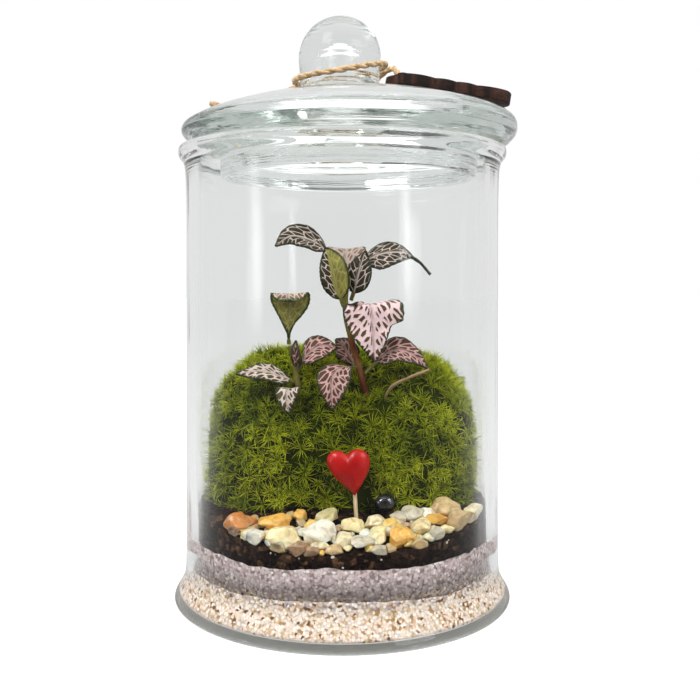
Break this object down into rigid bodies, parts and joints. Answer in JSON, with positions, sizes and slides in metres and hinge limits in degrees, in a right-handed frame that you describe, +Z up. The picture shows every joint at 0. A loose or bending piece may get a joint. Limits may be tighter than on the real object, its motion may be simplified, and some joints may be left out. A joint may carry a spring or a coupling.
{
  "type": "glass plant terrarium",
  "caption": "Lidded glass jar terrarium: layered sand and soil, a moss cushion, quartz pebbles, a pink-veined nerve plant, a red heart on a stick and a wooden tag on twine.",
  "frame": {"origin": "centre of the jar's flat underside", "axes": "+Z up along the jar, front faces -Y, +X to the viewer's right"},
  "size_m": [0.132, 0.1296, 0.2238],
  "materials": {
    "clear_glass": "clear, polished, faintly grey-green at thick edges",
    "cream_sand": "matte coarse sand with tan and brown specks",
    "grey_sand": "matte grey-mauve sand with paler grains",
    "dark_soil": "matte crumbly soil with a few white specks",
    "green_moss": "soft matte needle rosettes",
    "brown_stem": "satin reddish-brown stem",
    "green_stem": "satin olive stem",
    "dead_twig": "matte dry twig",
    "pink_leaf": "satin pink leaf with a dark net of cells",
    "olive_leaf": "satin olive leaf with a pale net",
    "quartz_pebble": "polished translucent quartz, amber to white",
    "black_gem": "gloss black",
    "red_enamel": "gloss red",
    "pale_wood": "matte unfinished wood",
    "dark_plywood": "matte, burnt at the cut edges",
    "jute_twine": "matte two-ply twine"
  },
  "bodies": {
    "root": {"jar_glass": "clear_glass", "lid_glass": "clear_glass", "sand_cream": "cream_sand", "sand_grey": "grey_sand", "soil": "dark_soil", "moss": "green_moss", "stem_tall": "brown_stem", "stem_short": "green_stem", "twig": "dead_twig", "leaf_tall_left": "pink_leaf", "leaf_tall_erect_left": "olive_leaf", "leaf_tall_back": "pink_leaf", "leaf_tall_erect_right": "pink_leaf", "leaf_tall_right": "pink_leaf", "leaf_tall_front": "pink_leaf", "leaf_short_spoon": "pink_leaf", "leaf_short_left": "pink_leaf", "leaf_short_front": "pink_leaf", "leaf_short_right": "pink_leaf", "leaf_low_back": "pink_leaf", "leaf_low_right": "pink_leaf", "leaf_low_front": "pink_leaf", "pebbles_left": "quartz_pebble", "pebbles_middle": "quartz_pebble", "pebbles_right": "quartz_pebble", "gem": "black_gem", "heart": "red_enamel", "heart_stick": "pale_wood", "tag": "dark_plywood", "twine": "jute_twine"}
  },
  "joints": []
}
